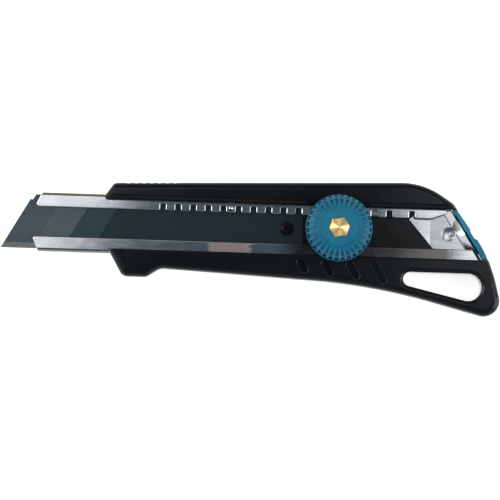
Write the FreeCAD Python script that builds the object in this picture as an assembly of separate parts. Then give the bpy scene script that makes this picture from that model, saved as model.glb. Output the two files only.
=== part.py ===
"""Snap-off utility knife with an 18 mm blade, a wheel lock and a pull-off end cap.

The knife lies on its back. +X runs along the blade channel, from the blade's tip to the tail, +Y points to
the spine, and +Z points out of the face that carries the lock wheel. The origin is on the flat back face,
under the centreline of the channel. All sizes are in millimetres.
"""

import FreeCAD, Part
import math
import os

Vector = FreeCAD.Vector

# Snap-off blade: 18 mm wide stock, scored every 10 mm
BLADE_WIDTH = 18.0
BLADE_LENGTH = 100.0
BLADE_THICKNESS = 0.5
SEGMENT_PITCH = 10.0
SEGMENT_ANGLE = math.radians(60)
SCORE_COUNT = 7
SCORE_WIDTH = 0.26
SCORE_DEPTH = 0.08
NICK_WIDTH = 0.9
NICK_DEPTH = 1.7
BEVEL_WIDTH = 1.8
EDGE_THICKNESS = 0.06
BLADE_TIP_X = -82.5
BLADE_HOLE_RADIUS = 2.3

# Blade channel: folded stainless sheet, open between two lips
SHEET = 0.8
CHANNEL_HALF_WIDTH = 10.2
CHANNEL_DEPTH = 5.4
BEND_RADIUS = 1.6
UPPER_LIP_EDGE = 5.1
LOWER_LIP_EDGE = -4.8
NOTCH_PITCH = 5.0
NOTCH_COUNT = 16
FIRST_NOTCH_X = -29.0
PARK_NOTCH_GAP = 7.5
NOTCH_WIDTH = 1.9
NOTCH_ROOT_Y = 7.3
NOTCH_CORNER = 0.5
LIP_ROUNDING = 0.25

# Handle moulding
HANDLE_FRONT_Z = 12.0
BACK_WALL = 2.4
SPINE_EDGE_Y = 8.0
GRIP_EDGE_Y = -8.2
SPINE_NOSE = (-49.2, SPINE_EDGE_Y)
FRONT_ROUNDING = 2.1
BACK_ROUNDING = 1.3
POCKET_GAP = 0.06
HOLE_ROUNDING = 1.3
GRIP_LIP_ROUNDING = 0.7
SPINE_LIP_ROUNDING = 1.9
MARK_RADIUS = 1.5
MARK_HEIGHT = 0.35
MARK_HOLLOW_RADIUS = 0.95

# Levels of the channel and the carriage inside it
WEB_TOP = BACK_WALL + SHEET
LIP_TOP = BACK_WALL + CHANNEL_DEPTH
LIP_UNDERSIDE = LIP_TOP - SHEET
SLIDE_GAP = 0.15
GUIDE_HALF = CHANNEL_HALF_WIDTH - SHEET - 0.45
SOLE_Z = WEB_TOP + SLIDE_GAP
BLADE_TOP_Z = LIP_UNDERSIDE - 0.2
BLADE_SEAT_Z = BLADE_TOP_Z - BLADE_THICKNESS - 0.04
TAIL_UNDERSIDE_Z = 4.8
TAIL_TOP_Z = 6.5

# Lock wheel and the screw it turns on
PIN_X = 12.2
PIN_Y = 0.4
WHEEL_X = 29.4
WHEEL_Y = 0.85
WHEEL_RADIUS = 11.0
WHEEL_BOTTOM_Z = 12.6
WHEEL_FACE_Z = 20.4
HUB_RADIUS = 6.5
RIB_COUNT = 32
RIB_WIDTH = 0.72
RIB_START = 6.7
FOOT_RING = 0.8
NUT_TURN = 9.0
SCREW_RADIUS = 1.95
NUT_FLATS = 6.1
NUT_TOP_Z = 20.75
WASHER_RADIUS = 6.8
WASHER_THICKNESS = 1.0
RING_THICKNESS = 0.6
HEAD_HALF = 3.5
HEAD_THICKNESS = 1.65
SPRING_SEAT_Z = 6.0

# Click spring under the rack
CLICK_ROOT_X = 25.5
CLICK_NOSE_X = FIRST_NOTCH_X + NOTCH_PITCH * 14
CLICK_Y = 6.9
CLICK_WIDTH = 2.8
CLICK_SHEET = 0.3
CLICK_Z = 5.9

# Rear end: a straight diagonal that the channel, the clip and the cap all follow
REAR_POINT = Vector(67.8, 6.54, 0)
REAR_ALONG = Vector(0.547, -0.837, 0)
REAR_OUT = Vector(0.837, 0.547, 0)
CLIP_SHEET = 0.7
FLANGE_RUN = 2.8
CLIP_DISH_RADIUS = 2.4
CAP_TOP_Y = 8.15
CAP_BOTTOM_Y = -7.75
CAP_HEIGHT = 9.0
CAP_GAP = 0.3
CAP_ROUNDING = 0.9
TONGUE_FRONT_X = 52.0
TONGUE_HALF_WIDTH = 5.4
TONGUE_FLARE = 0.8
RIVET_X = 67.2
RIVET_Y = 0.4
RIVET_RADIUS = 0.7
RIVET_HEAD_RADIUS = 0.95
RIVET_SEAT_Z = WEB_TOP + 0.35


def corner_points(before, corner, after, radius):
    """The start, middle and end of the arc that rounds one corner."""
    to_before = (before - corner).normalize()
    to_after = (after - corner).normalize()
    half_angle = to_before.getAngle(to_after) / 2
    tangent = radius / math.tan(half_angle)
    bisector = (to_before + to_after).normalize()
    centre = corner + bisector * (radius / math.sin(half_angle))
    return corner + to_before * tangent, centre - bisector * radius, corner + to_after * tangent


def rounded_wire(corners):
    """A closed wire in the XY plane through (x, y, radius) corners, each rounded by its own radius."""
    points = [Vector(x, y, 0) for x, y, _ in corners]
    arcs = []
    for i, (_, _, radius) in enumerate(corners):
        before, corner, after = points[i - 1], points[i], points[(i + 1) % len(points)]
        if radius > 0:
            arcs.append(corner_points(before, corner, after, radius))
        else:
            arcs.append((corner, None, corner))
    edges = []
    for i, (start, middle, end) in enumerate(arcs):
        if middle is not None:
            edges.append(Part.Arc(start, middle, end).toShape())
        following = arcs[(i + 1) % len(arcs)][0]
        if end.distanceToPoint(following) > 1e-6:
            edges.append(Part.LineSegment(end, following).toShape())
    return Part.Wire(edges)


def plate(corners, bottom, top):
    """A flat plate with a rounded outline, from one level to another."""
    face = Part.Face(rounded_wire(corners))
    face.translate(Vector(0, 0, bottom))
    return face.extrude(Vector(0, 0, top - bottom))


def bar_along_x(corners, start, end):
    """A bar whose (y, z, radius) section runs along X."""
    face = Part.Face(rounded_wire(corners))
    face.Placement = FreeCAD.Placement(Vector(start, 0, 0), FreeCAD.Rotation(Vector(1, 1, 1), 120))
    return face.extrude(Vector(end - start, 0, 0))


def block(x0, x1, y0, y1, z0, z1):
    return Part.makeBox(x1 - x0, y1 - y0, z1 - z0, Vector(x0, y0, z0))


def post(x, y, z0, z1, radius):
    return Part.makeCylinder(radius, z1 - z0, Vector(x, y, z0))


def obround(x0, y0, x1, y1, radius, z0, z1):
    """A plate with two parallel sides and round ends, centred on a line from one point to another."""
    along = Vector(x1 - x0, y1 - y0, 0).normalize()
    side = Vector(-along.y, along.x, 0) * radius
    a, b = Vector(x0, y0, 0), Vector(x1, y1, 0)
    edges = [
        Part.LineSegment(a + side, b + side).toShape(),
        Part.Arc(b + side, b + along * radius, b - side).toShape(),
        Part.LineSegment(b - side, a - side).toShape(),
        Part.Arc(a - side, a - along * radius, a + side).toShape(),
    ]
    face = Part.Face(Part.Wire(edges))
    face.translate(Vector(0, 0, z0))
    return face.extrude(Vector(0, 0, z1 - z0))


def hexagon(x, y, flats, z0, z1, turn=0.0):
    radius = flats / math.sqrt(3)
    corners = []
    for i in range(6):
        angle = math.radians(60 * i + turn)
        corners.append((x + radius * math.cos(angle), y + radius * math.sin(angle), 0))
    return plate(corners, z0, z1)


def revolved(profile, x, y):
    """A solid of revolution about the vertical axis through (x, y), from (radius, z) points."""
    points = [Vector(radius, 0, z) for radius, z in profile]
    face = Part.Face(Part.makePolygon(points + [points[0]]))
    solid = face.revolve(Vector(0, 0, 0), Vector(0, 0, 1), 360)
    solid.translate(Vector(x, y, 0))
    return solid


def edges_where(shape, test):
    """The edges whose middle point passes a test."""
    found = []
    for edge in shape.Edges:
        middle = edge.valueAt((edge.FirstParameter + edge.LastParameter) / 2)
        if test(middle, edge):
            found.append(edge)
    return found


def rear_region(offset, z0, z1, top=30.0, bottom=-30.0):
    """Everything beyond the rear diagonal, moved outwards by an offset, between two levels of Y."""
    start = REAR_POINT + REAR_OUT * offset
    at_top = start + REAR_ALONG * ((top - start.y) / REAR_ALONG.y)
    at_bottom = start + REAR_ALONG * ((bottom - start.y) / REAR_ALONG.y)
    far = 130.0
    return plate([(at_top.x, top, 0), (far, top, 0), (far, bottom, 0), (at_bottom.x, bottom, 0)], z0, z1)


def handle_outline():
    """Corners of the whole side profile, clockwise from the nose of the spine."""
    return [
        (*SPINE_NOSE, 0),
        (-45.3, 13.59, 2.0),
        (56.8, 16.9, 23.0),
        (67.0, 10.3, 4.0),
        (78.25, -5.2, 40.0),
        (81.5, -14.2, 30.0),
        (85.27, -28.86, 5.3),
        (41.6, -17.7, 200.0),
        (-29.2, -14.3, 4.0),
        (-33.8, -17.35, 3.1),
        (-41.7, -17.35, 3.0),
        (-46.9, GRIP_EDGE_Y, 0),
        (-46.6, SPINE_EDGE_Y, 0),
    ]


def nose_flats():
    """What is cut away to blunt the pointed nose of the spine with two flats."""
    front_x = -48.25
    middle_y = SPINE_EDGE_Y + 0.45
    outside_x = front_x - 4
    under = [(outside_x, 7, 0), (-46.9, SPINE_EDGE_Y - 0.4, 0), (front_x, middle_y, 0), (outside_x, 9.5, 0)]
    ahead = [(outside_x, 6, 0), (front_x, 6, 0), (front_x, 11, 0), (outside_x, 11, 0)]
    return [plate(corners, -1, HANDLE_FRONT_Z + 1) for corners in (under, ahead)]


def on_nose_edge(point):
    """True on the straight front edge of the back wall, between the spine and the finger guard."""
    return point.x < -46.0 and GRIP_EDGE_Y < point.y < SPINE_EDGE_Y + 0.01


def hang_hole(z0, z1):
    """Tapered hole with a round end each side, its upper edge level."""
    small = (53.5, 2.35)
    large = (72.6, 4.5)
    top = -12.8
    fall = math.asin((large[1] - small[1]) / (large[0] - small[0])) * 2
    a = Vector(small[0], top - small[1], 0)
    b = Vector(large[0], top - large[1], 0)
    down = Vector(-math.sin(fall), -math.cos(fall), 0)
    up = Vector(0, 1, 0)
    edges = [
        Part.LineSegment(a + up * small[1], b + up * large[1]).toShape(),
        Part.Arc(b + up * large[1], b + Vector(large[1], 0, 0), b + down * large[1]).toShape(),
        Part.LineSegment(b + down * large[1], a + down * small[1]).toShape(),
        Part.Arc(a + down * small[1], a - Vector(small[1], 0, 0), a + up * small[1]).toShape(),
    ]
    face = Part.Face(Part.Wire(edges))
    face.translate(Vector(0, 0, z0))
    return face.extrude(Vector(0, 0, z1 - z0))


def grip_marks():
    """End points of the four slanted marks on the grip, which get longer towards the tail."""
    return [
        (17.1, -10.9, 18.4, -13.1),
        (25.2, -11.0, 26.8, -13.8),
        (33.3, -11.0, 35.5, -14.7),
        (41.5, -11.0, 44.4, -15.9),
    ]


def make_handle():
    """Spine and grip in one moulding, joined by the back wall under the channel."""
    body = plate(handle_outline(), 0, HANDLE_FRONT_Z)
    body = body.cut(hang_hole(-1, HANDLE_FRONT_Z + 1))

    def around_hole(point):
        return 50.5 < point.x < 78.0 and -22.5 < point.y < -12.0

    def front_rim(point, edge):
        return abs(point.z - HANDLE_FRONT_Z) < 1e-6 and not on_nose_edge(point) and not around_hole(point)

    def back_rim(point, edge):
        return abs(point.z) < 1e-6 and not on_nose_edge(point) and not around_hole(point)

    def hole_rim(point, edge):
        on_face = abs(point.z - HANDLE_FRONT_Z) < 1e-6 or abs(point.z) < 1e-6
        return on_face and around_hole(point)

    body = body.makeFillet(FRONT_ROUNDING, edges_where(body, front_rim))
    body = body.makeFillet(BACK_ROUNDING, edges_where(body, back_rim))
    body = body.makeFillet(HOLE_ROUNDING, edges_where(body, hole_rim))

    # window between the spine and the grip, with rounded lips, and the pocket that the channel sits in
    far_x = 95.0
    over = HANDLE_FRONT_Z + 3
    window = [
        (GRIP_EDGE_Y, LIP_TOP - 0.5, 0),
        (GRIP_EDGE_Y, HANDLE_FRONT_Z, GRIP_LIP_ROUNDING),
        (GRIP_EDGE_Y - 3, HANDLE_FRONT_Z, 0),
        (GRIP_EDGE_Y - 3, over, 0),
        (SPINE_EDGE_Y + 4, over, 0),
        (SPINE_EDGE_Y + 4, HANDLE_FRONT_Z, 0),
        (SPINE_EDGE_Y, HANDLE_FRONT_Z, SPINE_LIP_ROUNDING),
        (SPINE_EDGE_Y, LIP_TOP - 0.5, 0),
    ]
    body = body.cut(bar_along_x(window, -60, far_x))
    pocket_half = CHANNEL_HALF_WIDTH + POCKET_GAP
    pocket = [
        (-pocket_half, BACK_WALL, BEND_RADIUS),
        (-pocket_half, LIP_TOP + POCKET_GAP, BEND_RADIUS),
        (pocket_half, LIP_TOP + POCKET_GAP, BEND_RADIUS),
        (pocket_half, BACK_WALL, BEND_RADIUS),
    ]
    pocket_bar = bar_along_x(pocket, -60, far_x)
    body = body.cut(pocket_bar.cut(rear_region(-1.0, -1, 30)))

    # rear opening for the end cap and the clip's flange, and the dovetail that the cap's tongue slides in
    top, bottom = CAP_TOP_Y + 0.1, CAP_BOTTOM_Y - 0.1
    body = body.cut(rear_region(0.0, -1, BACK_WALL, top, bottom))
    body = body.cut(rear_region(-1.6, BACK_WALL, 30, top, bottom))
    for flat in nose_flats():
        body = body.cut(flat)
    body = body.cut(tongue_bar(0.1, TONGUE_FRONT_X - 0.2, 90.0))

    body = body.cut(spine_grooves())
    for x0, y0, x1, y1 in grip_marks():
        top = HANDLE_FRONT_Z + MARK_HEIGHT
        raised = obround(x0, y0, x1, y1, MARK_RADIUS, HANDLE_FRONT_Z - 0.5, top)
        rim = edges_where(raised, lambda point, edge: abs(point.z - top) < 1e-6)
        body = body.fuse(raised.makeFillet(MARK_HEIGHT * 0.8, rim))
        body = body.cut(obround(x0, y0, x1, y1, MARK_HOLLOW_RADIUS, HANDLE_FRONT_Z - 0.9, top + 1))
        body = body.cut(obround(x0, y0, x1, y1, MARK_HOLLOW_RADIUS, -1, 0.6))
    return body.removeSplitter()


def spine_grooves():
    """Seven thumb grooves across the front of the spine."""
    first_x = -40.6
    pitch = 2.55
    radius = 1.1
    depth = 0.42
    slope = math.tan(math.radians(1.86))
    grooves = []
    for i in range(7):
        x = first_x + pitch * i
        y = 13.75 + slope * (x + 44.9) + radius - depth
        grooves.append(post(x, y, -1, HANDLE_FRONT_Z + 1, radius))
    return Part.makeCompound(grooves)


def tongue_bar(gap, x0, x1):
    """Dovetail section of the cap's tongue, wider under the channel than at the back face."""
    half = TONGUE_HALF_WIDTH + gap
    section = [
        (RIVET_Y - half, -1.0 if gap else 0.0, 0),
        (RIVET_Y - half - TONGUE_FLARE, BACK_WALL + 0.01 if gap else BACK_WALL - 0.1, 0),
        (RIVET_Y + half + TONGUE_FLARE, BACK_WALL + 0.01 if gap else BACK_WALL - 0.1, 0),
        (RIVET_Y + half, -1.0 if gap else 0.0, 0),
    ]
    return bar_along_x(section, x0, x1)


def lip_plan_upper():
    """Plan of the upper lip: slanted nose, and a rear end that narrows before the diagonal."""
    return [
        (-68.4, 11.0, 0),
        (-71.45, UPPER_LIP_EDGE, 0.9),
        (60.0, UPPER_LIP_EDGE, 3.0),
        (65.6, 7.1, 0.4),
        (63.1, 11.0, 0),
    ]


def lip_plan_lower():
    return [
        (-72.2, LOWER_LIP_EDGE, 0.8),
        (73.9, LOWER_LIP_EDGE, 0.5),
        (77.85, -11.0, 0),
        (-69.6, -11.0, 0),
    ]


def make_channel():
    """Folded sheath: a web, two sides and two lips, the upper lip cut into a rack."""
    outer_half = CHANNEL_HALF_WIDTH
    inner_half = CHANNEL_HALF_WIDTH - SHEET
    inner_bend = BEND_RADIUS - SHEET
    outer = bar_along_x(
        [
            (-outer_half, BACK_WALL, BEND_RADIUS),
            (-outer_half, LIP_TOP, BEND_RADIUS),
            (outer_half, LIP_TOP, BEND_RADIUS),
            (outer_half, BACK_WALL, BEND_RADIUS),
        ],
        -75,
        85,
    )
    inner = bar_along_x(
        [
            (-inner_half, WEB_TOP, inner_bend),
            (-inner_half, LIP_UNDERSIDE, inner_bend),
            (inner_half, LIP_UNDERSIDE, inner_bend),
            (inner_half, WEB_TOP, inner_bend),
        ],
        -76,
        86,
    )
    tube = outer.cut(inner)
    web_plan = [(-68.6, 11.0, 0), (61.6, 11.0, 0), (76.0, -11.0, 0), (-69.8, -11.0, 0)]
    web = tube.common(plate(web_plan, 0, WEB_TOP + 1.0))
    upper = tube.common(plate(lip_plan_upper(), WEB_TOP + 1.0, LIP_TOP + 1))
    lower = tube.common(plate(lip_plan_lower(), WEB_TOP + 1.0, LIP_TOP + 1))
    channel = web.fuse([upper, lower])
    channel = channel.cut(rack_notches())

    # rear-open slot in the web, which the cap's rivet slides along
    slot_half = 2.6
    slot_y0, slot_y1 = RIVET_Y - slot_half, RIVET_Y + slot_half
    channel = channel.cut(block(RIVET_X - 2.8, 90, slot_y0, slot_y1, 0, WEB_TOP + 0.5))
    channel = channel.cut(tooth_dish()).cut(nose_beads(0.0)).fuse(nose_beads(0.45)).removeSplitter()

    def lip_rim(point, edge):
        inside = abs(point.y) < CHANNEL_HALF_WIDTH - BEND_RADIUS - 0.1
        return inside and abs(point.z - LIP_TOP) < 1e-6 and not at_dish(point)

    return channel.makeFillet(LIP_ROUNDING, edges_where(channel, lip_rim))


def rack_notches():
    """Evenly spaced notches, and one more further back where the blade is parked."""
    places = [FIRST_NOTCH_X + NOTCH_PITCH * i for i in range(NOTCH_COUNT)]
    places.append(places[-1] + PARK_NOTCH_GAP)
    notches = []
    for x in places:
        half = NOTCH_WIDTH / 2
        mouth = half + 2 * NOTCH_CORNER
        corners = [
            (x - mouth, UPPER_LIP_EDGE - 1.0, 0),
            (x - mouth, UPPER_LIP_EDGE, 0),
            (x - half, UPPER_LIP_EDGE, NOTCH_CORNER),
            (x - half, NOTCH_ROOT_Y, NOTCH_CORNER),
            (x + half, NOTCH_ROOT_Y, NOTCH_CORNER),
            (x + half, UPPER_LIP_EDGE, NOTCH_CORNER),
            (x + mouth, UPPER_LIP_EDGE, 0),
            (x + mouth, UPPER_LIP_EDGE - 1.0, 0),
        ]
        notches.append(plate(corners, LIP_UNDERSIDE - 1, LIP_TOP + 1))
    return Part.makeCompound(notches)


DISH_X = FIRST_NOTCH_X + NOTCH_PITCH * 4.5
DISH_Y = 6.4
DISH_RADIUS = 0.8


def at_dish(point):
    return math.hypot(point.x - DISH_X, point.y - DISH_Y) < DISH_RADIUS + 0.1


def tooth_dish():
    """Small dish pressed into one rack tooth."""
    depth = 0.35
    sphere_radius = (DISH_RADIUS ** 2 + depth ** 2) / (2 * depth)
    return Part.makeSphere(sphere_radius, Vector(DISH_X, DISH_Y, LIP_TOP - depth + sphere_radius))


def nose_beads(rise):
    """Two long beads in the nose of the web: hollow behind, and raised inside to steady the blade."""
    width = 1.0
    x0, x1 = -64.0, -51.0
    beads = []
    for y in (-7.3, 7.3):
        if rise:
            shape = obround(x0, y, x1, y, width, WEB_TOP - 0.1, WEB_TOP + rise)
        else:
            shape = obround(x0, y, x1, y, width - 0.5, BACK_WALL - 1, BACK_WALL + 0.5)
        beads.append(shape)
    return Part.makeCompound(beads)


def make_blade():
    """Black snap-off blade with seven score lines, nicks in its back and a ground edge."""
    lean = 1 / math.tan(SEGMENT_ANGLE)
    edge_y = PIN_Y - 0.3 - BLADE_WIDTH / 2
    back_y = edge_y + BLADE_WIDTH
    end_x = BLADE_TIP_X + BLADE_LENGTH
    nick_y = back_y - NICK_DEPTH

    def front_x(y):
        return BLADE_TIP_X + (y - edge_y) * lean

    outline = [
        (BLADE_TIP_X, edge_y, 0),
        (front_x(nick_y), nick_y, 0),
        (front_x(nick_y) + NICK_WIDTH, nick_y, 0),
        (front_x(back_y) + NICK_WIDTH, back_y, 0),
        (end_x, back_y, 1.0),
        (end_x, edge_y, 0.6),
    ]
    bottom = BLADE_TOP_Z - BLADE_THICKNESS
    blade = plate(outline, bottom, BLADE_TOP_Z)
    blade = blade.cut(post(PIN_X, PIN_Y, bottom - 1, BLADE_TOP_Z + 1, BLADE_HOLE_RADIUS))

    # ground bevels on both faces of the cutting edge
    middle = BLADE_TOP_Z - BLADE_THICKNESS / 2
    for side in (-1, 1):
        face_z = middle + side * BLADE_THICKNESS / 2
        wedge = [
            (edge_y - 1.0, middle + side * EDGE_THICKNESS / 2, 0),
            (edge_y, middle + side * EDGE_THICKNESS / 2, 0),
            (edge_y + BEVEL_WIDTH, face_z, 0),
            (edge_y + BEVEL_WIDTH, face_z + side, 0),
            (edge_y - 1.0, face_z + side, 0),
        ]
        blade = blade.cut(bar_along_x(wedge, BLADE_TIP_X - 1, end_x + 1))

    for i in range(1, SCORE_COUNT + 1):
        x = BLADE_TIP_X + SEGMENT_PITCH * i
        blade = blade.cut(score_groove(x, edge_y, back_y))
        nick = [
            (x + (nick_y - edge_y) * lean, nick_y, 0),
            (x + (back_y + 1 - edge_y) * lean, back_y + 1, 0),
            (x + (back_y + 1 - edge_y) * lean + NICK_WIDTH, back_y + 1, 0),
            (x + (nick_y - edge_y) * lean + NICK_WIDTH, nick_y, 0),
        ]
        blade = blade.cut(plate(nick, bottom - 1, BLADE_TOP_Z + 1))
    return blade


def score_groove(x, edge_y, back_y):
    """A V-groove across the blade's front face, leaning with the segments."""
    lean = 1 / math.tan(SEGMENT_ANGLE)
    half = SCORE_WIDTH / 2
    run = Vector((back_y - edge_y + 4) * lean, back_y - edge_y + 4, 0)
    start = Vector(x - 2 * lean, edge_y - 2, 0)
    points = [
        start + Vector(-half, 0, BLADE_TOP_Z + 0.001),
        start + Vector(half, 0, BLADE_TOP_Z + 0.001),
        start + Vector(0, 0, BLADE_TOP_Z - SCORE_DEPTH),
    ]
    return Part.Face(Part.makePolygon(points + [points[0]])).extrude(run)


def make_carriage():
    """Sliding blade holder: a tongue and pin under the blade, a block under the wheel, and a slanted tail."""
    block_x0 = BLADE_TIP_X + BLADE_LENGTH + 0.1
    block_x1 = 40.2
    land_z = LIP_TOP - 0.3
    tongue_plan = [(5.5, -6, 2.5), (5.5, 6, 2.5), (block_x0 + 1, 6, 0), (block_x0 + 1, -6, 0)]
    tongue = plate(tongue_plan, SOLE_Z, BLADE_SEAT_Z)
    base = plate(
        [
            (block_x0, -GUIDE_HALF, 0.4),
            (block_x0, GUIDE_HALF, 0.4),
            (block_x1, GUIDE_HALF, 0.4),
            (block_x1, -GUIDE_HALF, 0.4),
        ],
        SOLE_Z,
        LIP_UNDERSIDE - SLIDE_GAP,
    )
    land = plate(
        [
            (block_x0 + 1.5, LOWER_LIP_EDGE + 0.3, 0.5),
            (block_x0 + 1.5, UPPER_LIP_EDGE - 0.3, 0.5),
            (block_x1, UPPER_LIP_EDGE - 0.3, 0.5),
            (block_x1, LOWER_LIP_EDGE + 0.3, 0.5),
        ],
        SOLE_Z,
        land_z,
    )
    carriage = base.fuse([tongue, land, make_pin(), make_tail(block_x1)])

    # seat for the screw's square head, its shank, and the release spring around it
    head = HEAD_HALF + 0.05
    seat_top = SOLE_Z + 0.1 + HEAD_THICKNESS
    x, y = WHEEL_X, WHEEL_Y
    carriage = carriage.cut(block(x - head, x + head, y - head, y + head, 0, seat_top))
    carriage = carriage.cut(post(x, y, 0, 20, SCREW_RADIUS + 0.15))
    carriage = carriage.cut(post(x, y, SPRING_SEAT_Z, 20, 3.9))

    # open pocket along the upper guide for the click spring, with a hole for its rivet
    half = CLICK_WIDTH / 2 + 0.25
    carriage = carriage.cut(block(CLICK_ROOT_X - 2.2, block_x1 + 5, CLICK_Y - half, 15, CLICK_Z - 0.15, 20))
    carriage = carriage.cut(post(CLICK_ROOT_X, CLICK_Y, CLICK_Z - 1.8, 20, 0.5))
    return carriage.removeSplitter()


def make_pin():
    """Stepped pin through the blade's hole, with a shallow cup in its end."""
    radius = BLADE_HOLE_RADIUS - 0.25
    shoulder_z = BLADE_TOP_Z + 0.35
    top_z = LIP_TOP - 0.2
    shank = post(PIN_X, PIN_Y, SOLE_Z, shoulder_z, radius)
    shank = shank.makeFillet(0.25, edges_where(shank, lambda point, edge: point.z > shoulder_z - 1e-6))
    boss = post(PIN_X, PIN_Y, SOLE_Z, top_z, 1.45)
    boss = boss.makeFillet(0.2, edges_where(boss, lambda point, edge: point.z > top_z - 1e-6))
    return shank.fuse(boss).cut(post(PIN_X, PIN_Y, top_z - 0.2, top_z + 1, 0.95))


def make_tail(start_x):
    """Plate behind the block: a raised band with one rib, lower bands each side, and a slanted end."""
    top_y = UPPER_LIP_EDGE + 0.3
    step_y = -2.2
    low_z = 5.6
    upper_plan = [(start_x - 3, step_y, 0), (start_x - 3, top_y, 0), (52.1, top_y, 0.6), (58.75, step_y, 0)]
    lower_plan = [
        (start_x - 3, -GUIDE_HALF, 0),
        (start_x - 3, 1.0, 0),
        (55.95, 1.0, 0),
        (61.2, -5.0, 0),
        (61.7, -5.6, 0),
        (61.7, -GUIDE_HALF, 0.6),
    ]
    upper = plate(upper_plan, TAIL_UNDERSIDE_Z, TAIL_TOP_Z)
    lower = plate(lower_plan, TAIL_UNDERSIDE_Z, low_z)
    upper = upper.makeChamfer(0.45, slanted_rims(upper, TAIL_TOP_Z))
    lower = lower.makeChamfer(0.35, slanted_rims(lower, low_z))
    rib = obround(46.5, -0.6, 46.5, top_y - 1.4, 0.5, TAIL_TOP_Z - 0.2, TAIL_TOP_Z + 0.3)
    return upper.fuse([lower, rib, tail_shelf(start_x, top_y)])


def tail_shelf(start_x, top_y):
    """Thin shelf under the rack that passes over the clip's flange at the rear stop."""
    side_y = CAP_TOP_Y - 0.05
    plan = [
        (start_x - 3, top_y - 1, 0),
        (start_x - 3, side_y, 0),
        (54.2, side_y, 0.3),
        (54.2, 6.0, 0.3),
        (52.0, top_y - 1, 0),
    ]
    return plate(plan, 5.4, 5.8)


def slanted_rims(shape, level):
    """The top edges of a tail plate's slanted end."""
    return edges_where(
        shape,
        lambda point, edge: abs(point.z - level) < 1e-6 and 53.0 < point.x < 61.6 and -4.0 < point.y < 4.0
        and edge.Length > 3,
    )


def make_click_spring():
    """Leaf spring held at its front end, with a nose that rises into the rack's notches."""
    half = CLICK_WIDTH / 2
    nose_half = 0.55
    end_x = CLICK_NOSE_X + 1.0
    leaf = plate(
        [
            (CLICK_ROOT_X - 1.6, CLICK_Y - half, 0.6),
            (CLICK_ROOT_X - 1.6, CLICK_Y + half, 0.6),
            (end_x, CLICK_Y + half, 0.6),
            (end_x, CLICK_Y - half, 0.6),
        ],
        CLICK_Z,
        CLICK_Z + CLICK_SHEET,
    )
    top = LIP_UNDERSIDE - 0.1
    nose = block(
        CLICK_NOSE_X - nose_half,
        CLICK_NOSE_X + nose_half,
        CLICK_Y - half + 0.1,
        NOTCH_ROOT_Y - 0.35,
        CLICK_Z + CLICK_SHEET / 2,
        top,
    )
    nose = nose.makeFillet(0.3, edges_where(nose, lambda point, edge: point.z > top - 1e-6))
    leaf = leaf.fuse(nose)
    return leaf.cut(post(CLICK_ROOT_X, CLICK_Y, 0, 20, 0.62)).removeSplitter()


def make_click_rivet():
    """Small rivet that holds the click spring to the carriage."""
    head_z = CLICK_Z + CLICK_SHEET + 0.03
    head = post(CLICK_ROOT_X, CLICK_Y, head_z, head_z + 0.4, 1.0)
    head = head.makeFillet(0.25, edges_where(head, lambda point, edge: abs(point.z - head_z - 0.4) < 1e-6))
    return head.fuse(post(CLICK_ROOT_X, CLICK_Y, CLICK_Z - 1.8, head_z + 0.1, 0.5)).removeSplitter()


def make_screw():
    """Square-headed screw, captive under the block. Its thread is left plain."""
    half = HEAD_HALF
    z0 = SOLE_Z + 0.05
    head = block(WHEEL_X - half, WHEEL_X + half, WHEEL_Y - half, WHEEL_Y + half, z0, z0 + HEAD_THICKNESS)
    shank = post(WHEEL_X, WHEEL_Y, SOLE_Z + 1, NUT_TOP_Z - 2.3, SCREW_RADIUS)
    shank = shank.makeChamfer(0.4, edges_where(shank, lambda point, edge: point.z > NUT_TOP_Z - 2.4))
    return head.fuse(shank).removeSplitter()


def make_release_spring():
    """Small coil that lifts the washer and the wheel when the wheel is slackened."""
    wire = 0.22
    coil = 3.2
    turns = 2
    low = SPRING_SEAT_Z + wire + 0.02
    high = LIP_TOP - wire + 0.02
    helix = Part.makeHelix((high - low) / turns, high - low, coil)
    circle = Part.Wire([Part.Circle(Vector(coil, 0, 0), Vector(0, 1, 0), wire).toShape()])
    spring = Part.Wire(helix.Edges).makePipeShell([circle], True, True)
    spring.translate(Vector(WHEEL_X, WHEEL_Y, low))
    return spring


def make_washer():
    """Steel plate that the wheel presses on both lips."""
    z0 = LIP_TOP + 0.05
    ring = post(WHEEL_X, WHEEL_Y, z0, z0 + WASHER_THICKNESS, WASHER_RADIUS)
    rims = edges_where(ring, lambda point, edge: edge.Curve.TypeId == "Part::GeomCircle")
    ring = ring.makeFillet(0.25, rims)
    return ring.cut(post(WHEEL_X, WHEEL_Y, 0, 20, SCREW_RADIUS + 0.15))


def ring_bottom():
    return LIP_TOP + 0.05 + WASHER_THICKNESS + 0.03


def make_thrust_ring():
    """Slippery ring between the washer and the wheel's hub."""
    ring = post(WHEEL_X, WHEEL_Y, ring_bottom(), ring_bottom() + RING_THICKNESS, HUB_RADIUS - 0.4)
    return ring.cut(post(WHEEL_X, WHEEL_Y, 0, 20, SCREW_RADIUS + 0.3))


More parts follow.
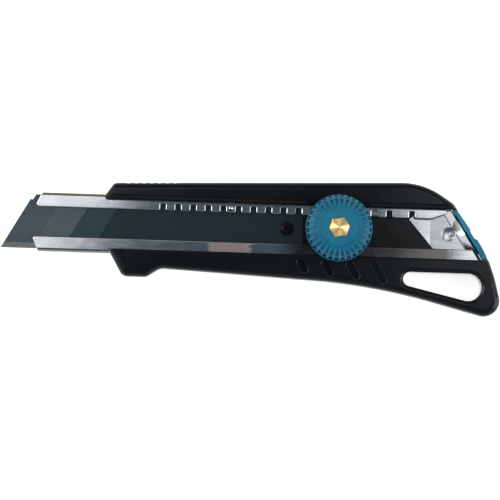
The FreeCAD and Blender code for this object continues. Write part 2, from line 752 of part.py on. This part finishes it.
def make_wheel():
    """Lock wheel: a hub, a core with a flat face, ribs over its shoulder, and a thin foot ring."""
    hub_z = ring_bottom() + RING_THICKNESS + 0.02
    face, foot = WHEEL_FACE_Z, WHEEL_BOTTOM_Z
    profile = [
        (0, hub_z),
        (HUB_RADIUS, hub_z),
        (HUB_RADIUS, foot),
        (WHEEL_RADIUS - 0.1, foot),
        (WHEEL_RADIUS, foot + 0.1),
        (WHEEL_RADIUS, foot + FOOT_RING - 0.15),
        (WHEEL_RADIUS - 0.15, foot + FOOT_RING),
        (10.1, foot + FOOT_RING),
        (10.05, face - 2.0),
        (9.85, face - 1.45),
        (9.4, face - 0.95),
        (8.4, face - 0.45),
        (7.2, face - 0.16),
        (RIB_START - 0.9, face),
        (0, face),
    ]
    wheel = revolved(profile, WHEEL_X, WHEEL_Y)
    hollow = post(WHEEL_X, WHEEL_Y, foot - 1, foot + 3.5, 9.0).cut(post(WHEEL_X, WHEEL_Y, 0, 30, HUB_RADIUS))
    wheel = wheel.cut(hollow).fuse(wheel_ribs())
    wheel = wheel.fuse(gate_mark())
    return wheel.cut(hexagon(WHEEL_X, WHEEL_Y, NUT_FLATS + 0.04, 0, 30, NUT_TURN)).removeSplitter()


def wheel_ribs():
    """Radial ribs that run level from the face, round over the shoulder and stand on the foot ring."""
    top = WHEEL_FACE_Z - 0.08
    bottom = WHEEL_BOTTOM_Z + FOOT_RING - 0.1
    outer = WHEEL_RADIUS - 0.3
    shoulder = 1.5
    side = [
        Vector(RIB_START, 0, bottom + 2),
        Vector(RIB_START, 0, top - 0.25),
        Vector(RIB_START + 0.35, 0, top),
        Vector(outer - shoulder, 0, top),
    ]
    inset = shoulder * (1 - math.sqrt(0.5))
    middle = Vector(outer - inset, 0, top - inset)
    bend = Part.Arc(side[-1], middle, Vector(outer, 0, top - shoulder)).toShape()
    foot = [Vector(outer, 0, top - shoulder), Vector(outer, 0, bottom), Vector(9.5, 0, bottom)]
    foot.append(Vector(9.5, 0, bottom + 2))
    edges = [Part.LineSegment(a, b).toShape() for a, b in zip(side, side[1:])]
    edges.append(bend)
    edges += [Part.LineSegment(a, b).toShape() for a, b in zip(foot, foot[1:])]
    edges.append(Part.LineSegment(foot[-1], side[0]).toShape())
    face = Part.Face(Part.Wire(edges))
    face.translate(Vector(0, -RIB_WIDTH / 2, 0))
    rib = face.extrude(Vector(0, RIB_WIDTH, 0))

    def crest(point, edge):
        on_side = abs(abs(point.y) - RIB_WIDTH / 2) < 1e-6
        on_crest = point.z > top - 0.3 or point.x > outer - shoulder + 0.1
        return on_side and on_crest and point.z > bottom + 0.2

    rib = rib.makeFillet(RIB_WIDTH * 0.32, edges_where(rib, crest))
    ribs = []
    for i in range(RIB_COUNT):
        copy = rib.copy()
        copy.rotate(Vector(0, 0, 0), Vector(0, 0, 1), 360.0 * i / RIB_COUNT + 2.0)
        copy.translate(Vector(WHEEL_X, WHEEL_Y, 0))
        ribs.append(copy)
    return ribs


def gate_mark():
    """Small square stub left between two ribs by the mould's gate."""
    half = 0.36
    radius = 8.6
    angle = 360.0 / RIB_COUNT * 10.5 + 2.0
    stub = block(radius - half, radius + half, -half, half, WHEEL_FACE_Z - 1.6, WHEEL_FACE_Z - 0.45)
    stub.rotate(Vector(0, 0, 0), Vector(0, 0, 1), angle)
    stub.translate(Vector(WHEEL_X, WHEEL_Y, 0))
    return stub


def make_nut():
    """Blind hexagonal brass nut pressed into the wheel, chamfered at its outer face."""
    z0 = ring_bottom() + RING_THICKNESS + 0.3
    nut = hexagon(WHEEL_X, WHEEL_Y, NUT_FLATS, z0, NUT_TOP_Z, NUT_TURN)
    nut = nut.makeChamfer(0.25, edges_where(nut, lambda point, edge: abs(point.z - NUT_TOP_Z) < 1e-6))
    return nut.cut(post(WHEEL_X, WHEEL_Y, z0 - 1, NUT_TOP_Z - 0.9, SCREW_RADIUS + 0.05))


def make_end_cap():
    """Curved rear shell that follows the outline of the handle, with a dovetail tongue on the back."""
    shell = plate(handle_outline(), 0, CAP_HEIGHT)

    def outer_rim(point, edge):
        return not on_nose_edge(point) and (point.z < 1e-6 or point.z > CAP_HEIGHT - 1e-6)

    shell = shell.makeFillet(CAP_ROUNDING, edges_where(shell, outer_rim))
    shell = shell.common(rear_region(CAP_GAP, 0, CAP_HEIGHT, CAP_TOP_Y, CAP_BOTTOM_Y))
    tongue = tongue_bar(0.0, TONGUE_FRONT_X, 90.0).cut(rear_region(CAP_GAP + 0.2, -1, 30))
    cap = shell.cut(cap_recess()).fuse(tongue)
    cap = cap.cut(post(RIVET_X, RIVET_Y, -1, BACK_WALL + 1, RIVET_RADIUS + 0.03))
    cap = cap.cut(post(RIVET_X, RIVET_Y, -1, 0.75, 1.9))
    return cap.removeSplitter()


def cap_recess():
    """Shallow recess with soft ends across the outer face, for a fingernail."""
    middle = Vector(74.05, 0.3, 0)
    half_length = 1.7
    depth = 0.4
    along = Vector(0.56, -0.83, 0)
    outward = Vector(0.83, 0.56, 0)
    corners = []
    soft = 1.2
    reach = half_length + soft
    plan = ((-half_length, 0, soft), (half_length, 0, soft), (reach, 2, 0), (-reach, 2, 0))
    for run, out, radius in plan:
        point = middle + along * run + outward * (out - depth)
        corners.append((point.x, point.y, radius))
    return plate(corners, -1, CAP_HEIGHT + 1)


def make_cap_clip():
    """Stainless plate over the web, bent up along the rear diagonal, with a dish pressed beside its rivet."""
    z0 = WEB_TOP + 0.02
    top_z = z0 + CLIP_SHEET
    front_x, far_x = 60.0, 80.0
    upper, lower = CAP_TOP_Y - 0.15, CAP_BOTTOM_Y + 0.15
    plan = [(front_x, upper, 0.5), (far_x, upper, 0), (far_x, lower, 0), (front_x, lower, 0.5)]
    clip = plate(plan, z0, top_z)
    clip = clip.cut(rear_region(-FLANGE_RUN, 0, 20))
    clip = clip.fuse(clip_flange(z0, upper, lower))
    dish_depth = 0.3
    sphere_radius = (CLIP_DISH_RADIUS ** 2 + dish_depth ** 2) / (2 * dish_depth)
    dish_centre = Vector(RIVET_X - 1.2, RIVET_Y - 0.1, top_z - dish_depth + sphere_radius)
    clip = clip.cut(Part.makeSphere(sphere_radius, dish_centre))
    clip = clip.cut(post(RIVET_X, RIVET_Y, RIVET_SEAT_Z, 20, RIVET_HEAD_RADIUS + 0.1))
    return clip.cut(post(RIVET_X, RIVET_Y, 0, 20, RIVET_RADIUS + 0.03)).removeSplitter()


def clip_flange(z0, upper, lower):
    """The rear edge of the clip, bent up at a slope and run along the diagonal."""
    rise = 1.45
    top = z0 + CLIP_SHEET
    section = [
        (-FLANGE_RUN - 0.3, z0, 0),
        (-FLANGE_RUN + 0.4, z0, 1.5),
        (0.0, z0 + rise, 0),
        (-0.4, z0 + rise + 0.55, 0),
        (-FLANGE_RUN + 0.1, top, 1.0),
        (-FLANGE_RUN - 0.3, top, 0),
    ]
    face = Part.Face(rounded_wire(section))
    turn = FreeCAD.Rotation(REAR_OUT, Vector(0, 0, 1), REAR_ALONG, "XZY")
    face.Placement = FreeCAD.Placement(REAR_POINT, turn)
    bar = face.extrude(REAR_ALONG * 30)
    bar.translate(REAR_ALONG * -15)
    return bar.common(block(0, 100, lower, upper, 0, 20))


def make_cap_rivet():
    """Rivet that ties the clip to the tongue through the slot in the web."""
    shank = post(RIVET_X, RIVET_Y, 0.3, RIVET_SEAT_Z + 0.1, RIVET_RADIUS)
    top_z = RIVET_SEAT_Z + 0.45
    head = post(RIVET_X, RIVET_Y, RIVET_SEAT_Z + 0.02, top_z, RIVET_HEAD_RADIUS)
    head = head.makeFillet(0.3, edges_where(head, lambda point, edge: abs(point.z - top_z) < 1e-6))
    tail = post(RIVET_X, RIVET_Y, 0.1, 0.72, 1.75)
    return shank.fuse([head, tail]).removeSplitter()


MAKERS = {
    "handle_body": make_handle,
    "blade_channel": make_channel,
    "snap_blade": make_blade,
    "blade_carriage": make_carriage,
    "click_spring": make_click_spring,
    "click_rivet": make_click_rivet,
    "clamp_screw": make_screw,
    "release_spring": make_release_spring,
    "pressure_washer": make_washer,
    "thrust_ring": make_thrust_ring,
    "lock_wheel": make_wheel,
    "wheel_nut": make_nut,
    "end_cap": make_end_cap,
    "cap_clip": make_cap_clip,
    "cap_rivet": make_cap_rivet,
}


def main():
    os.makedirs("parts", exist_ok=True)
    for name, make in MAKERS.items():
        shape = make()
        box = shape.BoundBox
        print(
            f"{name}: {len(shape.Solids)} solid(s), valid {shape.isValid()}, {shape.Volume:.1f} mm3, "
            f"X {box.XMin:.2f}..{box.XMax:.2f}  Y {box.YMin:.2f}..{box.YMax:.2f}  "
            f"Z {box.ZMin:.2f}..{box.ZMax:.2f}"
        )
        if len(shape.Solids) != 1 or not shape.isValid():
            raise ValueError(f"{name} is not one valid solid")
        shape.exportStep(f"parts/{name}.step")


main()
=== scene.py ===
"""Looks for the snap-off utility knife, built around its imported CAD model. All lengths are in metres."""

import bmesh
import bpy
import math
from mathutils import Matrix, Vector


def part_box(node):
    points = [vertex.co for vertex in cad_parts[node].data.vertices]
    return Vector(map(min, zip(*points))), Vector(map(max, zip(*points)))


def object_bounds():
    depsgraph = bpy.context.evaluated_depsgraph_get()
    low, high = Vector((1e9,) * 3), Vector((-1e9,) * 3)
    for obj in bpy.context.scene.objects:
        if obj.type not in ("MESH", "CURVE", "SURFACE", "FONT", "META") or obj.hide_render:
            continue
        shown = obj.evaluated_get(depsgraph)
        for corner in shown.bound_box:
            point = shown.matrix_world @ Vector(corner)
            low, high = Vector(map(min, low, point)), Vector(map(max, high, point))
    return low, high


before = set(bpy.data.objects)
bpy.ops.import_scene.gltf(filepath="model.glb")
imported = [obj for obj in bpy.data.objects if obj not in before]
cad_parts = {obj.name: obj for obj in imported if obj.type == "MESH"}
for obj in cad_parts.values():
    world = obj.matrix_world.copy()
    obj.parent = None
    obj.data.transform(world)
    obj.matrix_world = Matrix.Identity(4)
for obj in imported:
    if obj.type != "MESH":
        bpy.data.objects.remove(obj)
cad_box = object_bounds()
MM = 0.001

# camera and framing
VIEW_DISTANCE = 1.3
VIEW_WIDTH = 0.1656
ROLL = math.radians(1.86)
LEAN = math.radians(2.2)
AIM_OFFSET = Vector((-0.0001, -0.0021, 0))
SENSOR = 0.036

# studio
END_WALL_TONE = (0.90, 0.90, 0.90, 1)
FAR_WALL_TONE = (0.26, 0.19, 0.14, 1)
NEAR_WALL_TONE = (0.44, 0.41, 0.37, 1)
CEILING_TONE = (0.055, 0.078, 0.098, 1)
CARD_HEIGHT = 0.70
LEFT_CARD_SPIN = math.radians(-43)
FLOOR_GLOW = 0.78
FLOOR_GAP = 0.0002
FLOOR_HALF = 1.6

# marks on the knife
LIP_HEIGHT = 7.8 * MM
LOWER_LIP_EDGE = -4.8 * MM
SEGMENT_PITCH = 10.0 * MM
SEGMENT_ANGLE = math.radians(60)
RING_PITCH = 0.11 * MM


# ---------- node helpers

class Nodes:
    """Short calls for building one material's node tree."""

    def __init__(self, name):
        self.material = bpy.data.materials.new(name)
        self.material.use_nodes = True
        self.tree = self.material.node_tree
        self.shader = self.tree.nodes["Principled BSDF"]
        self.place = self.tree.nodes.new("ShaderNodeTexCoord").outputs["Object"]

    def node(self, kind, **settings):
        made = self.tree.nodes.new(kind)
        for key, value in settings.items():
            setattr(made, key, value)
        return made

    def link(self, source, target):
        self.tree.links.new(source, target)

    def put(self, socket, value):
        """Links an output, or sets a constant."""
        if isinstance(value, bpy.types.NodeSocket):
            self.link(value, socket)
        else:
            socket.default_value = value

    def stretched(self, scale, turn=0.0):
        """Object coordinates scaled along each axis, so that a texture runs in one direction."""
        mapping = self.node("ShaderNodeMapping")
        mapping.inputs["Scale"].default_value = scale
        mapping.inputs["Rotation"].default_value = (0, 0, turn)
        self.link(self.place, mapping.inputs["Vector"])
        return mapping.outputs["Vector"]

    def noise(self, scale, detail=4.0, roughness=0.5, vector=None, distortion=0.0):
        made = self.node("ShaderNodeTexNoise")
        made.inputs["Scale"].default_value = scale
        made.inputs["Detail"].default_value = detail
        made.inputs["Roughness"].default_value = roughness
        made.inputs["Distortion"].default_value = distortion
        self.link(vector or self.place, made.inputs["Vector"])
        return made.outputs["Fac"]

    def spread(self, value, low, high, to_low, to_high):
        made = self.node("ShaderNodeMapRange", clamp=True)
        for name, number in (("From Min", low), ("From Max", high), ("To Min", to_low), ("To Max", to_high)):
            made.inputs[name].default_value = number
        self.put(made.inputs["Value"], value)
        return made.outputs["Result"]

    def math(self, operation, a, b=0.0):
        made = self.node("ShaderNodeMath", operation=operation)
        self.put(made.inputs[0], a)
        self.put(made.inputs[1], b)
        return made.outputs["Value"]

    def blend(self, factor, first, second):
        made = self.node("ShaderNodeMix", data_type="RGBA")
        self.put(made.inputs["Factor"], factor)
        self.put(made.inputs["A"], first)
        self.put(made.inputs["B"], second)
        return made.outputs["Result"]

    def axis(self, name):
        made = self.node("ShaderNodeSeparateXYZ")
        self.link(self.place, made.inputs[0])
        return made.outputs[name]

    def sharp_edge_mask(self, low=0.52, high=0.62):
        """0 on flats and 1 on sharp outer edges."""
        geometry = self.node("ShaderNodeNewGeometry")
        return self.spread(geometry.outputs["Pointiness"], low, high, 0.0, 1.0)

    def hollows(self, low=0.40, high=0.48):
        """1 in sharp inner corners and 0 elsewhere."""
        geometry = self.node("ShaderNodeNewGeometry")
        return self.spread(geometry.outputs["Pointiness"], low, high, 1.0, 0.0)

    def bump(self, height, distance, strength=1.0, before=None):
        made = self.node("ShaderNodeBump")
        made.inputs["Strength"].default_value = strength
        made.inputs["Distance"].default_value = distance
        self.link(height, made.inputs["Height"])
        if before is not None:
            self.link(before, made.inputs["Normal"])
        return made.outputs["Normal"]

    def finish(self, color=None, roughness=None, normal=None, **constants):
        for socket, value in (("Base Color", color), ("Roughness", roughness), ("Normal", normal)):
            if value is not None:
                self.put(self.shader.inputs[socket], value)
        for name, value in constants.items():
            self.shader.inputs[name.replace("_", " ").title().replace("Ior", "IOR")].default_value = value
        return self.material


# ---------- materials

def black_plastic(name, base, sheen, dust):
    """Satin black moulding: faint flow marks, fine grain, a little dust and rubbed edges."""
    n = Nodes(name)
    cloud = n.noise(38, 4.0, 0.55)
    grain = n.noise(2600, 3.0, 0.6)
    scuff = n.noise(900, 6.0, 0.7, n.stretched((0.12, 1.0, 1.0), 0.3))
    specks = n.spread(n.noise(5200, 1.0, 0.3), 0.70, 0.76, 0.0, 0.5)
    tone = n.blend(n.spread(cloud, 0.35, 0.7, 0.0, 1.0), base, dust)
    worn = n.math("MULTIPLY", n.sharp_edge_mask(0.53, 0.66), n.spread(cloud, 0.3, 0.6, 0.1, 0.5))
    rubbed = tuple(2.2 * c + 0.003 for c in dust[:3]) + (1.0,)
    satin = n.spread(cloud, 0.3, 0.7, sheen - 0.02, sheen + 0.03)
    gloss = n.math("ADD", satin, n.spread(scuff, 0.55, 0.8, 0.0, 0.06))
    low = n.bump(cloud, 0.00003, 0.10)
    fine = n.bump(grain, 0.0000015, 0.4, low)
    color = n.blend(worn, n.blend(specks, tone, rubbed), rubbed)
    return n.finish(color, gloss, fine, specular_ior_level=0.26)


def rolled_steel(name, base, dark, roughness, wave):
    """Bright sheet with fine rolling lines along its length, smears and small scratches."""
    n = Nodes(name)
    streaks = n.noise(5200, 4.0, 0.65, n.stretched((0.04, 1.0, 1.0)))
    smear = n.noise(130, 2.5, 0.5, n.stretched((0.6, 1.0, 1.0)), 0.3)
    scratches = n.noise(2400, 2.0, 0.5, n.stretched((0.02, 1.0, 1.0), 0.5))
    tone = n.blend(n.spread(smear, 0.35, 0.68, 0.0, 1.0), base, dark)
    scratch = n.spread(scratches, 0.66, 0.74, 0.0, 0.08)
    gloss = n.math("ADD", n.spread(streaks, 0.3, 0.7, roughness - 0.03, roughness + 0.05), scratch)
    # the lower lip gets a dull rubbed patch with a painted pink reflection, and a painted dark reflection
    # behind the wheel
    tone, gloss = lower_lip_rub_and_painted_reflections(n, tone, gloss)
    wavy = n.bump(smear, 0.00016, wave)
    lines = n.bump(streaks, 0.000004, 0.5, wavy)
    return n.finish(tone, gloss, lines, metallic=1.0, anisotropic=0.35)


def lower_lip_rub_and_painted_reflections(n, tone, gloss):
    """A dull rubbed patch in front of the wheel, tinted pink as a painted reflection, and a painted dark
    reflection behind it.
    """
    edge = n.spread(n.noise(900, 3.0, 0.6), 0.3, 0.7, -1.2 * MM, 1.2 * MM)
    x = n.math("ADD", n.axis("X"), edge)
    on_lip = n.spread(n.axis("Y"), LOWER_LIP_EDGE, LOWER_LIP_EDGE + 0.3 * MM, 1.0, 0.0)

    def stretch(start, end, soft):
        rise = n.spread(x, start, start + soft, 0.0, 1.0)
        fall = n.spread(x, end - soft, end, 1.0, 0.0)
        return n.math("MULTIPLY", on_lip, n.math("MULTIPLY", rise, fall))

    rubbed = stretch(-14.0 * MM, 1.0 * MM, 2.0 * MM)
    # painted dark reflection: the lower lip darkened behind the wheel
    painted_dark_reflection = stretch(8.0 * MM, 74.0 * MM, 9.0 * MM)
    tone = n.blend(painted_dark_reflection, tone, (0.15, 0.135, 0.14, 1))
    # painted pink reflection on the rubbed patch; only the added roughness below is the real rub
    tone = n.blend(rubbed, tone, (0.36, 0.27, 0.27, 1))
    return tone, n.math("ADD", gloss, n.math("MULTIPLY", rubbed, 0.26))


def segment_number(n, low):
    """Counts the blade's segments from the tip, across its slanted score lines."""
    slant = 1.0 / math.tan(SEGMENT_ANGLE)
    along = n.math("SUBTRACT", n.axis("X"), low[0])
    across = n.math("SUBTRACT", n.axis("Y"), low[1])
    shifted = n.math("SUBTRACT", along, n.math("MULTIPLY", across, slant))
    return n.math("DIVIDE", shifted, SEGMENT_PITCH)


def blade_steel():
    """Blackened steel: bare ground edge, segments painted lighter near the tip as a painted reflection,
    faint grinding marks.
    """
    n = Nodes("blade_black_oxide")
    low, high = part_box("snap_blade")
    lines = n.noise(4200, 3.0, 0.6, n.stretched((0.05, 1.0, 1.0)))
    patches = n.noise(90, 5.0, 0.65, n.stretched((0.7, 1.0, 1.0)), 0.4)
    across = n.noise(5200, 3.0, 0.6, n.stretched((1.0, 0.05, 1.0)))
    steps = n.node("ShaderNodeValToRGB")
    steps.color_ramp.interpolation = "CONSTANT"
    # painted reflection: one tone per segment from the tip, the first two lighter and the rest darker
    painted_reflection_tones = (
        (0.058, 0.078, 0.092, 1),
        (0.070, 0.092, 0.104, 1),
        (0.024, 0.046, 0.058, 1),
        (0.0095, 0.021, 0.028, 1),
    )
    ramp = steps.color_ramp.elements
    ramp[0].color = painted_reflection_tones[0]
    ramp[1].position = 0.1
    ramp[1].color = painted_reflection_tones[1]
    for i, tone in enumerate(painted_reflection_tones[2:], 2):
        ramp.new(0.1 * i).color = tone
    n.link(n.math("MULTIPLY", segment_number(n, low), 0.1), steps.inputs["Fac"])
    paler = n.blend(0.22, steps.outputs["Color"], (0.030, 0.036, 0.040, 1))
    oxide = n.blend(n.spread(patches, 0.4, 0.75, 0.0, 1.0), steps.outputs["Color"], paler)
    y = n.axis("Y")
    ground = n.spread(y, low[1] + 1.72 * MM, low[1] + 1.86 * MM, 1.0, 0.0)
    micro = n.spread(y, low[1] + 0.22 * MM, low[1] + 0.30 * MM, 1.0, 0.0)
    steel = n.blend(n.spread(across, 0.35, 0.65, 0.0, 1.0), (0.42, 0.41, 0.38, 1), (0.60, 0.58, 0.54, 1))
    color = n.blend(ground, oxide, n.blend(micro, steel, (0.85, 0.85, 0.84, 1)))
    satin = n.spread(lines, 0.3, 0.7, 0.30, 0.40)
    bright = n.spread(across, 0.3, 0.7, 0.24, 0.36)
    satin = n.math("MULTIPLY", satin, n.math("SUBTRACT", 1.0, ground))
    gloss = n.math("ADD", satin, n.math("MULTIPLY", bright, ground))
    n.link(ground, n.shader.inputs["Metallic"])
    wavy = n.bump(patches, 0.0001, 0.12)
    return n.finish(color, gloss, n.bump(lines, 0.000003, 0.4, wavy), specular_ior_level=0.18)


def blue_plastic(name):
    """Blue-green moulding with paler outer edges, partly rubbed wear and partly a painted highlight, painted
    shade darkening its hollows, and a fine satin grain.
    """
    n = Nodes(name)
    cloud = n.noise(140, 5.0, 0.6)
    grain = n.noise(3800, 3.0, 0.6)
    tone = n.blend(n.spread(cloud, 0.3, 0.7, 0.0, 1.0), (0.0040, 0.118, 0.215, 1), (0.0060, 0.140, 0.245, 1))
    # paler colour on sharp outer edges: partly rubbed wear, partly a painted highlight on the rib ridges
    wear_and_painted_highlight = n.math("MULTIPLY", n.sharp_edge_mask(0.50, 0.58), 0.6)
    # painted shade: a darker blue in sharp inner corners and hollows
    painted_hollow_shade = n.math("MULTIPLY", n.hollows(), 0.75)
    color = n.blend(wear_and_painted_highlight, n.blend(painted_hollow_shade, tone, (0.0015, 0.045, 0.085, 1)), (0.035, 0.250, 0.380, 1))
    gloss = n.spread(cloud, 0.3, 0.7, 0.26, 0.36)
    low = n.bump(cloud, 0.00008, 0.15)
    return n.finish(color, gloss, n.bump(grain, 0.000005, 0.5, low), specular_ior_level=0.28)


def turned_brass():
    """Brass faced on a lathe: fine rings round its centre, and its chamfer painted a brighter orange as a
    painted highlight.
    """
    n = Nodes("turned_brass")
    low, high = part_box("wheel_nut")
    centre = ((low[0] + high[0]) / 2, (low[1] + high[1]) / 2, 0.0)
    shift = n.node("ShaderNodeVectorMath", operation="SUBTRACT")
    n.link(n.place, shift.inputs[0])
    shift.inputs[1].default_value = centre
    flat = n.node("ShaderNodeVectorMath", operation="MULTIPLY")
    n.link(shift.outputs[0], flat.inputs[0])
    flat.inputs[1].default_value = (1, 1, 0)
    length = n.node("ShaderNodeVectorMath", operation="LENGTH")
    n.link(flat.outputs[0], length.inputs[0])
    radius = length.outputs["Value"]
    rings = n.math("SINE", n.math("MULTIPLY", radius, 2 * math.pi / RING_PITCH))
    wander = n.noise(700, 3.0, 0.6)
    tone = n.blend(n.spread(wander, 0.3, 0.7, 0.0, 1.0), (0.62, 0.43, 0.17, 1), (0.80, 0.60, 0.28, 1))
    # painted highlight: the top chamfer coloured a brighter orange
    chamfer_painted_highlight = n.spread(n.axis("Z"), high[2] - 0.2 * MM, high[2] - 0.05 * MM, 1.0, 0.0)
    color = n.blend(chamfer_painted_highlight, tone, (0.86, 0.45, 0.14, 1))
    gloss = n.spread(rings, -1.0, 1.0, 0.20, 0.34)
    return n.finish(color, gloss, n.bump(rings, 0.000014, 0.9), metallic=1.0)


def plated_steel(name, base, roughness):
    """Plated steel with a cloudy tone and fine grain."""
    n = Nodes(name)
    cloud = n.noise(400, 4.0, 0.6)
    grain = n.noise(6000, 2.0, 0.5)
    darker = tuple(0.75 * c for c in base[:3]) + (1.0,)
    tone = n.blend(n.spread(cloud, 0.3, 0.7, 0.0, 1.0), darker, base)
    gloss = n.spread(cloud, 0.3, 0.7, roughness - 0.06, roughness + 0.08)
    return n.finish(tone, gloss, n.bump(grain, 0.000006, 0.5), metallic=1.0)


def pale_nylon():
    """Off-white nylon with a soft grain."""
    n = Nodes("pale_nylon")
    cloud = n.noise(300, 4.0, 0.6)
    tone = n.blend(cloud, (0.60, 0.59, 0.53, 1), (0.74, 0.73, 0.68, 1))
    return n.finish(tone, n.spread(cloud, 0.3, 0.7, 0.42, 0.55), n.bump(n.noise(4000), 0.00001, 0.4))


def wear(node_names, material):
    """Gives a material to the CAD nodes of these names."""
    for name in node_names:
        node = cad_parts[name]
        node.data.materials.clear()
        node.data.materials.append(material)


# ---------- stage

def make_floor(low):
    """Pale seamless floor just under the knife."""
    mesh = bpy.data.meshes.new("floor")
    shape = bmesh.new()
    bmesh.ops.create_grid(shape, x_segments=8, y_segments=8, size=FLOOR_HALF)
    shape.to_mesh(mesh)
    shape.free()
    floor = bpy.data.objects.new("floor", mesh)
    floor.location = (0, 0, low - FLOOR_GAP)
    bpy.context.scene.collection.objects.link(floor)
    n = Nodes("pale_floor")
    tone = n.blend(n.noise(6, 3.0), (0.86, 0.86, 0.86, 1), (0.90, 0.90, 0.90, 1))
    n.shader.inputs["Emission Color"].default_value = (1, 1, 1, 1)
    floor.data.materials.append(n.finish(tone, 0.7, emission_strength=FLOOR_GLOW))


def make_light(name, place, size, power, aim=None, spin=0.0):
    """A rectangular light that faces straight down and is spun about the vertical, or faces a point."""
    data = bpy.data.lights.new(name, "AREA")
    data.shape = "RECTANGLE"
    data.size, data.size_y = size
    data.energy = power
    light = bpy.data.objects.new(name, data)
    light.location = place
    light.rotation_euler = (0, 0, spin)
    if aim is not None:
        light.rotation_euler = (Vector(aim) - Vector(place)).to_track_quat("-Z", "Y").to_euler()
    bpy.context.scene.collection.objects.link(light)


def make_world():
    """Bright walls past both ends, a brown wall and a paler one along the sides, and a dim ceiling."""
    world = bpy.data.worlds.new("studio")
    world.use_nodes = True
    tree = world.node_tree

    def spread(value, low, high):
        made = tree.nodes.new("ShaderNodeMapRange")
        made.interpolation_type = "SMOOTHSTEP"
        made.inputs["From Min"].default_value = low
        made.inputs["From Max"].default_value = high
        tree.links.new(value, made.inputs["Value"])
        return made.outputs["Result"]

    def blend(factor, first, second):
        made = tree.nodes.new("ShaderNodeMix")
        made.data_type = "RGBA"
        tree.links.new(factor, made.inputs["Factor"])
        for socket, value in ((made.inputs["A"], first), (made.inputs["B"], second)):
            if isinstance(value, bpy.types.NodeSocket):
                tree.links.new(value, socket)
            else:
                socket.default_value = value
        return made.outputs["Result"]

    split = tree.nodes.new("ShaderNodeSeparateXYZ")
    tree.links.new(tree.nodes.new("ShaderNodeTexCoord").outputs["Generated"], split.inputs[0])
    sideways = tree.nodes.new("ShaderNodeMath")
    sideways.operation = "ABSOLUTE"
    tree.links.new(split.outputs["X"], sideways.inputs[0])
    sides = blend(spread(split.outputs["Y"], -0.15, 0.15), NEAR_WALL_TONE, FAR_WALL_TONE)
    walls = blend(spread(sideways.outputs["Value"], 0.30, 0.70), sides, END_WALL_TONE)
    studio = blend(spread(split.outputs["Z"], 0.55, 0.95), walls, CEILING_TONE)
    tree.links.new(studio, tree.nodes["Background"].inputs["Color"])
    bpy.context.scene.world = world


def make_lights():
    make_world()
    make_light("left_card", (-0.182, 0.082, CARD_HEIGHT), (0.22, 0.40), 0.29, spin=LEFT_CARD_SPIN)
    make_light("right_card", (0.190, 0.146, CARD_HEIGHT), (0.22, 0.30), 0.23)
    make_light("left_panel", (-0.75, 0.15, 0.45), (0.5, 0.9), 5.0, aim=(0, 0, 0))
    make_light("right_panel", (0.75, -0.1, 0.45), (0.5, 0.9), 4.0, aim=(0, 0, 0))


def make_camera(box):
    """Straight above the knife but for a small lean, turned so that the blade rises slightly to the left."""
    low, high = Vector(box[0]), Vector(box[1])
    aim = (low + high) / 2 + AIM_OFFSET
    aim.z = LIP_HEIGHT
    right = Vector((math.cos(ROLL), math.sin(ROLL), 0))
    ahead = Vector((-math.sin(ROLL), math.cos(ROLL), 0))
    back = Vector((0, 0, 1)) * math.cos(LEAN) - ahead * math.sin(LEAN)
    up = back.cross(right)
    turn = Matrix((right, up, back)).transposed().to_4x4()
    data = bpy.data.cameras.new("camera")
    data.sensor_width = SENSOR * 1000
    data.lens = SENSOR * 1000 * VIEW_DISTANCE / VIEW_WIDTH
    data.clip_start = 0.01
    camera = bpy.data.objects.new("camera", data)
    camera.matrix_world = Matrix.Translation(aim + back * VIEW_DISTANCE) @ turn
    bpy.context.scene.collection.objects.link(camera)
    bpy.context.scene.camera = camera


# ---------- assembly

HANDLE_DUST = (0.0058, 0.0074, 0.0096, 1)
CARRIAGE_DUST = (0.0070, 0.0080, 0.0095, 1)
handle_black = black_plastic("handle_black", (0.0040, 0.0056, 0.0076, 1), 0.12, HANDLE_DUST)
carriage_black = black_plastic("carriage_black", (0.0035, 0.0055, 0.0075, 1), 0.14, CARRIAGE_DUST)
sheet_steel = rolled_steel("sheet_steel", (0.76, 0.77, 0.79, 1), (0.62, 0.65, 0.69, 1), 0.085, 0.13)
clip_steel = rolled_steel("clip_steel", (0.84, 0.85, 0.87, 1), (0.66, 0.69, 0.74, 1), 0.20, 0.35)
blue = blue_plastic("blue_green")
zinc = plated_steel("zinc_plate", (0.58, 0.59, 0.61, 1), 0.3)
spring = plated_steel("spring_steel", (0.42, 0.42, 0.43, 1), 0.28)

wear(["handle_body"], handle_black)
wear(["blade_carriage"], carriage_black)
wear(["blade_channel"], sheet_steel)
wear(["cap_clip"], clip_steel)
wear(["snap_blade"], blade_steel())
wear(["lock_wheel", "end_cap"], blue)
wear(["wheel_nut"], turned_brass())
wear(["clamp_screw", "pressure_washer", "click_rivet", "cap_rivet"], zinc)
wear(["click_spring", "release_spring"], spring)
wear(["thrust_ring"], pale_nylon())

bpy.context.scene.view_settings.view_transform = "Standard"
make_floor(cad_box[0][2])
make_lights()
make_camera(cad_box)
